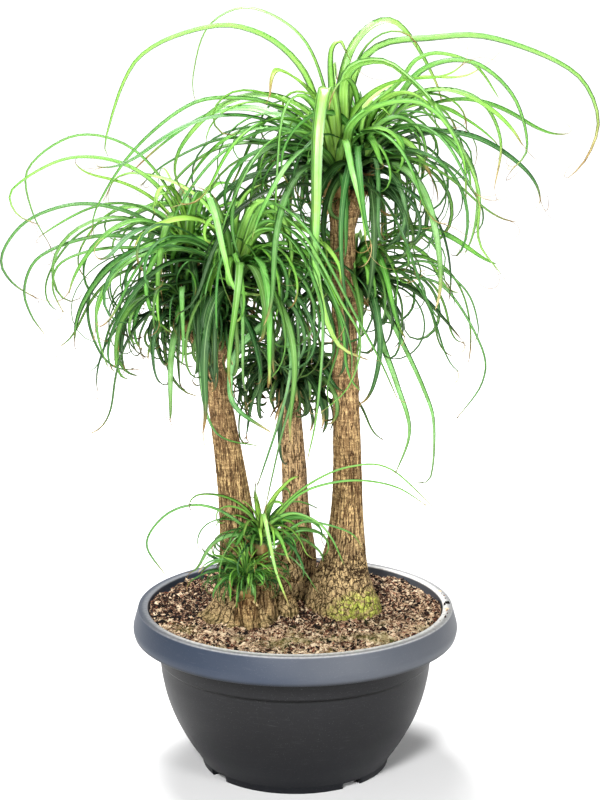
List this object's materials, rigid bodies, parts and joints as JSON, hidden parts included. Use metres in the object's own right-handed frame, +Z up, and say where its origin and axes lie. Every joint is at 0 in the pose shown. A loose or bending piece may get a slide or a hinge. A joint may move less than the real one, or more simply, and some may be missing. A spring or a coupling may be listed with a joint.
{
  "type": "potted ponytail palm",
  "caption": "Ponytail palm with three swollen trunks, arching strap leaves and young offsets, in a shallow round bowl of potting mix that stands on its foot.",
  "frame": {"origin": "centre of the bowl's foot, on the surface it stands on", "axes": "+Z up along the bowl's axis, -Y towards the side seen first, +X to its right"},
  "size_m": [0.7044, 0.5006, 0.9222],
  "materials": {
    "plastic": "satin anthracite",
    "potting_mix": "loose and uneven",
    "bark": "fissured bark",
    "leaf": "satin leaf"
  },
  "bodies": {
    "root": {"pot": "plastic", "mix": "potting_mix", "trunk_right": "bark", "trunk_left": "bark", "trunk_middle": "bark", "head_tall_main": "leaf", "head_tall_side": "leaf", "head_tall_back": "leaf", "head_left_main": "leaf", "head_left_back": "leaf", "head_left_low": "leaf", "head_left_inner": "leaf", "head_middle": "leaf", "head_offset_large": "leaf", "head_offset_small": "leaf"}
  },
  "joints": []
}
